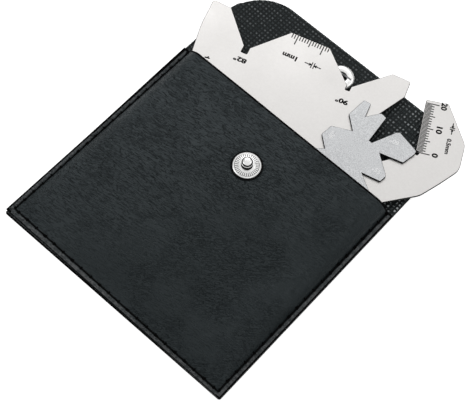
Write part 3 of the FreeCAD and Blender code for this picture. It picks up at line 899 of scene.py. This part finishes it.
def makeStitch():
    # one stitch: a short thread whose ends dip into the leather
    deselectAll()
    bpy.ops.mesh.primitive_cylinder_add(
        vertices=8, radius=seam["width"] / 2 * mm, depth=seam["stitch"] * mm,
        rotation=(0, math.pi / 2, 0),
    )
    piece = bpy.context.object
    bpy.ops.object.transform_apply(rotation=True)
    bpy.ops.object.mode_set(mode="EDIT")
    cutAlong([share * seam["stitch"] for share in (-0.42, -0.3, -0.1, 0.1, 0.3, 0.42)], (1, 0, 0))
    bpy.ops.object.mode_set(mode="OBJECT")
    half = seam["stitch"] / 2 * mm
    for point in piece.data.vertices:
        share = point.co.x / half
        slim = 1.0 - 0.5 * abs(share) ** 4
        point.co.y *= slim
        point.co.z = point.co.z * slim * 0.75 - 0.26 * mm * abs(share) ** 3
    smoothShade(piece, 60)
    return piece


def stitchPlaces():
    places = []
    start = pouch["mouth"] - seam["fromMouth"]
    for index in range(int((bottomSeam + start) / seam["pitch"])):
        y = start - (index + 0.5) * seam["pitch"]
        places += [(-seam["line"], y, 90), (seam["line"], y, 90)]
    count = int(2 * (seam["line"] - seam["cornerGap"]) / seam["pitch"])
    for index in range(count):
        places.append(((index - (count - 1) / 2) * seam["pitch"], -bottomSeam, 0))
    return places


def makeThread(name, height, replaced, flip):
    model = makeStitch()
    stitches = []
    for x, y, angle in stitchPlaces():
        stitch = ownCopy(model)
        spot = Matrix.Translation(Vector((x, y, height)) * mm)
        lean = Matrix.Rotation(math.radians(angle + 7.0), 4, "Z")
        upside = Matrix.Rotation(math.pi if flip else 0.0, 4, "X")
        stitch.matrix_world = spot @ lean @ upside
        stitches.append(stitch)
    bpy.data.objects.remove(model)
    thread = joinPieces(stitches, name)
    settle(thread, name)
    dress(thread, [threadMaterial], "pouch", "thread", replaced)


makeThread("needleThread", 2 * panel - 0.06, "needle_thread", False)
makeThread("bobbinThread", 0.19, "bobbin_thread", True)
print("seams sewn")


# snap fastener

stud = {
    "flange": 5.0, "post": 1.95, "neck": 1.4, "height": 3.6,
    "serrations": 34, "toothDepth": 0.16,
}
studBaseHeight = frontTop - (pouch["mouth"] - snap["studY"]) * math.tan(tilt)


def leanOnFront():
    spot = Vector((snap["x"], snap["studY"], studBaseHeight)) * mm
    return Matrix.Translation(spot) @ Matrix.Rotation(tilt, 4, "X")


def makeStud():
    edge = stud["flange"]
    post = stud["post"]
    neck = stud["neck"]
    # the foot ring is a thin black ring just outside the flange: a painted shadow where the flange meets
    # the leather
    shadowFootRing = [(0.0, 0.0), (edge + 0.54, 0.0), (edge + 0.60, 0.06), (edge + 0.50, 0.14)]
    flange = [
        (edge - 0.10, 0.18), (edge, 0.28), (edge - 0.06, 0.46), (edge - 0.28, 0.60),
        (edge - 0.60, 0.60), (edge - 0.78, 0.46), (edge - 0.86, 0.40), (edge - 1.45, 0.44),
        (edge - 2.10, 0.50), (2.65, 0.58), (2.35, 0.60), (2.05, 0.66), (1.80, 0.95),
    ]
    crown = [
        (neck, 1.35), (neck, 1.80), (1.72, 2.05), (post, 2.30), (post + 0.02, 2.70),
        (1.93, 3.00), (1.56, 3.38), (1.30, 3.50), (0.7, 3.58), (0.0, stud["height"]),
    ]
    profile = shadowFootRing + flange + crown
    piece = turnProfile("studTurned", profile, 3 * stud["serrations"])
    # one face in three is sunk between the teeth of the serrated ring
    sunk = []
    turnStep = math.tau / (3 * stud["serrations"])
    for face in piece.data.polygons:
        radius = math.hypot(face.center.x, face.center.y) / mm
        count = int(math.floor(math.atan2(face.center.y, face.center.x) / turnStep + 0.01))
        onRing = edge - 2.05 < radius < edge - 0.86 and 0.3 * mm < face.center.z < 0.55 * mm
        if onRing and count % 3 == 0:
            sunk.append(face.index)
    bpy.ops.object.mode_set(mode="EDIT")
    bpy.ops.mesh.select_mode(type="FACE")
    bpy.ops.mesh.select_all(action="DESELECT")
    bpy.ops.object.mode_set(mode="OBJECT")
    for index in sunk:
        piece.data.polygons[index].select = True
    bpy.ops.object.mode_set(mode="EDIT")
    step = (0, 0, -stud["toothDepth"] * mm)
    bpy.ops.mesh.extrude_region_move(TRANSFORM_OT_translate={"value": step})
    bpy.ops.object.mode_set(mode="OBJECT")
    sunk = {face.index for face in piece.data.polygons if face.select}
    smoothShade(piece, 30)
    settle(piece, "studChrome", leanOnFront())
    dress(piece, [chrome, chromeShade], "pouch", "chrome", "snap_stud")
    # painted shade: the sunk faces, the foot ring, the neck and a ring under the crown's top take the
    # near-black finish
    for face in piece.data.polygons:
        radius = math.hypot(face.center.x / mm - snap["x"], face.center.y / mm - snap["studY"])
        height = face.center.z / mm - studBaseHeight
        onShadowRing = radius > edge + 0.05
        onNeck = 0.70 < height < 2.0 and radius < 2.0
        underTop = 3.05 < height < 3.30
        dark = face.index in sunk or onShadowRing or onNeck or underTop
        face.material_index = 1 if dark else 0


def placeOnFlap(height):
    hinge = Matrix.Translation((0, pouch["fold"] * mm, 0))
    lift = Matrix.Rotation(math.radians(pouch["flapLift"]), 4, "X")
    spot = Matrix.Translation(Vector((snap["x"], snap["socketFromFold"], height)) * mm)
    return hinge @ lift @ spot


socketSlot = {"fromMiddle": 1.4, "height": 1.25, "size": (6.9, 0.66, 1.14)}


def makeSocket():
    # a rounded ring with a slot for each spring wire
    profile = [
        (2.75, 0.0), (4.85, 0.0), (5.0, 0.10), (5.0, 0.55), (4.92, 0.85), (4.7, 1.12),
        (4.4, 1.30), (4.0, 1.38), (3.2, 1.40), (2.55, 1.38), (2.25, 1.28), (2.12, 1.10),
        (2.12, 0.62), (2.75, 0.60), (2.75, 0.0),
    ]
    piece = turnProfile("socketTurned", profile, 72)
    for side in (-1, 1):
        spot = (0, side * socketSlot["fromMiddle"] * mm, socketSlot["height"] * mm)
        deselectAll()
        bpy.ops.mesh.primitive_cube_add(size=1.0, location=spot)
        cutter = bpy.context.object
        cutter.scale = [part * mm for part in socketSlot["size"]]
        applyModifier(piece, "BOOLEAN", "slot", operation="DIFFERENCE", object=cutter, solver="EXACT")
        bpy.data.objects.remove(cutter)
    smoothShade(piece, 35)
    # painted shade: the ring's lower faces, up to 0.6 mm, take the near-black finish for its dark
    # outline
    shadedRimFaces = [face.index for face in piece.data.polygons if face.center.z < 0.6 * mm]
    settle(piece, "socketChrome", placeOnFlap(panel))
    dress(piece, [chrome, chromeShade], "flap", "chrome", "snap_socket")
    for index in shadedRimFaces:
        piece.data.polygons[index].material_index = 1


def makeCap():
    # a low dome under the flap, with the hollow rivet that holds the socket
    profile = [
        (0.0, -0.60), (2.6, -0.60), (4.4, -0.55), (5.5, -0.42), (6.05, -0.25), (6.25, -0.12),
        (6.25, -0.04), (6.1, -0.02), (2.6, -0.02), (2.6, 1.60), (2.5, 1.66), (2.32, 1.66),
        (2.22, 1.58), (2.22, -0.2), (0.0, -0.2),
    ]
    piece = turnProfile("capTurned", profile, 72)
    smoothShade(piece, 35)
    settle(piece, "capChrome", placeOnFlap(0.0))
    dress(piece, [chrome], "flap", "chrome", "snap_cap")


makeStud()
makeSocket()
makeCap()
for name, finish in (("stud_rivet", chrome), ("socket_springs", springWire)):
    nodes[name].data.materials.clear()
    nodes[name].data.materials.append(finish)
print("snap fastener made")


# gauge plates

plate = {"thickness": 0.9, "innerHeight": 1.2, "edge": 0.16, "topEdge": 77.45}
star = {"thickness": 0.8, "rest": 0.05, "edge": 0.14}


def platePiece(nodeName, name, edge, materials, body, slotName):
    # a merged copy of the plate from the frame, its sharp edges broken, its cut sides and broken edges
    # near-black: painted shade over the duller cut steel
    piece = bpy.data.objects.new(name, nodes[nodeName].data.copy())
    bpy.context.scene.collection.objects.link(piece)
    pick(piece)
    bpy.ops.object.mode_set(mode="EDIT")
    bpy.ops.mesh.select_all(action="SELECT")
    bpy.ops.mesh.remove_doubles(threshold=0.003 * mm)
    bpy.ops.mesh.dissolve_limited(angle_limit=math.radians(0.6))
    bpy.ops.object.mode_set(mode="OBJECT")
    applyModifier(
        piece, "BEVEL", "brokenEdge", width=edge * mm, segments=2, limit_method="ANGLE",
        angle_limit=math.radians(60),
    )
    smoothShade(piece, 12)
    settle(piece, name)
    dress(piece, materials, body, slotName, nodeName)
    # painted shade: every face that is not flat on top, the broken edges too, takes the near-black edge
    # finish
    for face in piece.data.polygons:
        face.material_index = 1 if abs(face.normal.z) < 0.97 else 0


plateOrigin = plate["innerHeight"] - pouch["plateEnd"] * math.tan(tilt)
plateFrame = (
    Matrix.Translation((0, 0, plateOrigin * mm))
    @ Matrix.Rotation(tilt, 4, "X")
    @ Matrix.Rotation(turn, 4, "Z")
)
starLift = (plate["thickness"] + star["rest"]) / math.cos(tilt)
starFrame = Matrix.Translation((0, 0, (plateOrigin + starLift) * mm)) @ Matrix.Rotation(tilt, 4, "X")

platePiece(
    "drill_gauge_plate", "drillGauge", plate["edge"], [plateSteel, plateEdgeShade],
    "drill_gauge", "bright_steel",
)
platePiece(
    "star_gauge_plate", "starGauge", star["edge"], [starSteel, starEdgeShade],
    "star_gauge", "grey_steel",
)
print("plates made")


# markings: plain numbers, units and graduations, as thin pieces laid on the plates

mark = {
    "depth": 0.02,
    "line": 0.38,
    "fineLine": 0.34,
    "arrowLine": 0.36,
    "weight": 0.14,
    "smallWeight": 0.095,
    "stampWeight": 0.07,
}
plateTop = plate["thickness"]
starTop = star["thickness"]


def wordMark(words, wide, tall, spot, angle, top, weight):
    # a word as a mesh, brought to its width and height in mm
    deselectAll()
    bpy.ops.object.text_add()
    piece = bpy.context.object
    piece.data.body = words
    piece.data.size = tall * 1.4 * mm
    piece.data.extrude = mark["depth"] / 2 * mm
    piece.data.offset = weight * mm
    piece.data.resolution_u = 4
    bpy.ops.object.convert(target="MESH")
    piece = bpy.context.object
    xs = [point.co.x for point in piece.data.vertices]
    ys = [point.co.y for point in piece.data.vertices]
    middle = Vector(((max(xs) + min(xs)) / 2, (max(ys) + min(ys)) / 2, 0))
    grow = (wide * mm / (max(xs) - min(xs)), tall * mm / (max(ys) - min(ys)))
    for point in piece.data.vertices:
        point.co -= middle
        point.co.x *= grow[0]
        point.co.y *= grow[1]
    moveIt = Matrix.Translation(Vector((spot[0], spot[1], top)) * mm)
    piece.matrix_world = moveIt @ Matrix.Rotation(math.radians(angle), 4, "Z")
    bpy.ops.object.transform_apply(location=True, rotation=True, scale=True)
    return piece


def lineMark(start, end, width, top):
    deselectAll()
    bpy.ops.mesh.primitive_cube_add(size=1.0)
    piece = bpy.context.object
    run = Vector((end[0] - start[0], end[1] - start[1], 0))
    piece.scale = (run.length * mm, width * mm, mark["depth"] * mm)
    piece.rotation_euler = (0, 0, math.atan2(run.y, run.x))
    piece.location = Vector(((start[0] + end[0]) / 2, (start[1] + end[1]) / 2, top)) * mm
    bpy.ops.object.transform_apply(location=True, rotation=True, scale=True)
    return piece


def gatherMarks(pieces, name, placement, material, body, slotName):
    marks = joinPieces(pieces, name)
    settle(marks, name, placement)
    dress(marks, [material], body, slotName)


def arrowPair(centre, angle, size):
    # two arrows that meet at a narrow gap, the usual sign for one graduation
    direction = Vector((math.cos(math.radians(angle)), math.sin(math.radians(angle)), 0))
    across = Vector((-direction.y, direction.x, 0))
    middle = Vector((centre[0], centre[1], 0))
    pieces = []
    for side in (-1, 1):
        bar = middle + direction * side * 0.07 * size
        tail = middle + direction * side * 0.5 * size
        neck = bar + direction * side * 0.17 * size
        halfBar = across * 0.2 * size
        pieces.append(lineMark(bar + halfBar, bar - halfBar, mark["arrowLine"], plateTop))
        pieces.append(lineMark(bar, tail, mark["arrowLine"], plateTop))
        for lean in (-1, 1):
            pieces.append(lineMark(bar, neck + across * lean * 0.075 * size, 0.3, plateTop))
    return pieces


# line lengths in mm, by the number of the line where it isn't an ordinary one
shoulder = {"lines": 15, "fromEdge": 0.2, "length": 1.8, "longer": {2: 4.0, 7: 2.8, 12: 4.0}}
drillScale = {
    "vertex": (57.05, 52.0), "angle": 100.7, "start": 0.1, "lines": 41, "step": 0.5,
    "fine": (0.25, 2.4), "boldFrom": 2.2, "length": 3.3, "atFives": 4.2,
    "longer": {0: 4.9, 20: 4.4, 40: 4.9},
}


def shoulderScale():
    pieces = []
    edge = plate["topEdge"] - shoulder["fromEdge"]
    for step in range(shoulder["lines"]):
        length = shoulder["longer"].get(step, shoulder["length"])
        pieces.append(lineMark((step, edge), (step, edge - length), mark["line"], plateTop))
    return pieces


def drillScaleLines():
    # fine lines every half millimetre, and a bolder one outside every second of them
    angle = math.radians(drillScale["angle"])
    direction = Vector((math.cos(angle), math.sin(angle), 0))
    outward = Vector((direction.y, -direction.x, 0))
    base = Vector((*drillScale["vertex"], 0)) + direction * drillScale["start"]
    near, far = drillScale["fine"]
    fine = []
    bold = []
    for step in range(drillScale["lines"]):
        spot = base + direction * (step * drillScale["step"])
        fine.append(lineMark(spot + outward * near, spot + outward * far, mark["fineLine"], plateTop))
        ordinary = drillScale["atFives"] if step % 10 == 0 else drillScale["length"]
        tip = spot + outward * drillScale["longer"].get(step, ordinary)
        if step % 2 == 0:
            bold.append(lineMark(spot + outward * drillScale["boldFrom"], tip, mark["line"], plateTop))
    return fine, bold


# words, width, height, place, angle and weight
labelAngle = drillScale["angle"] + 180
plateWords = [
    ("82°", 4.9, 2.1, (-12.9, 59.0), 180, mark["weight"]),
    ("90°", 4.7, 2.1, (26.3, 59.3), 180, mark["weight"]),
    ("1mm", 5.6, 2.0, (2.5, 67.9), 180, mark["weight"]),
    ("0", 1.7, 2.2, (63.6, 53.6), labelAngle, mark["weight"]),
    ("10", 2.9, 2.2, (61.5, 63.4), labelAngle, mark["weight"]),
    ("20", 3.1, 2.2, (59.8, 73.0), labelAngle, mark["weight"]),
    ("0.5mm", 6.2, 1.6, (66.5, 58.9), labelAngle, mark["smallWeight"]),
]
starWords = [
    ("60°", 3.2, 1.9, (31.2, 64.3), 190, mark["stampWeight"]),
    ("55°", 3.2, 1.9, (33.6, 51.6), 180, mark["stampWeight"]),
    ("40°", 3.2, 1.9, (13.6, 51.6), 90, mark["stampWeight"]),
]

fineLines, boldLines = drillScaleLines()
plateMarks = shoulderScale() + boldLines
plateMarks += arrowPair((11.45, 68.1), 0, 6.3)
plateMarks += arrowPair((65.5, 66.0), drillScale["angle"], 4.6)
for words, wide, tall, spot, angle, weight in plateWords:
    plateMarks.append(wordMark(words, wide, tall, spot, angle, plateTop, weight))
# the top of a number that the pouch hides
plateMarks.append(lineMark((-24.7, 54.5), (-22.8, 54.7), 0.5, plateTop))
plateMarks.append(lineMark((-23.7, 54.6), (-23.4, 55.3), 0.45, plateTop))
gatherMarks(plateMarks, "plateMarks", plateFrame, blackEtch, "drill_gauge", "bright_steel")
gatherMarks(fineLines, "fineGraduations", plateFrame, greyEtch, "drill_gauge", "bright_steel")

starMarks = []
for words, wide, tall, spot, angle, weight in starWords:
    starMarks.append(wordMark(words, wide, tall, spot, angle, starTop, weight))
gatherMarks(starMarks, "starMarks", starFrame, paleStamp, "star_gauge", "grey_steel")
print("markings laid")
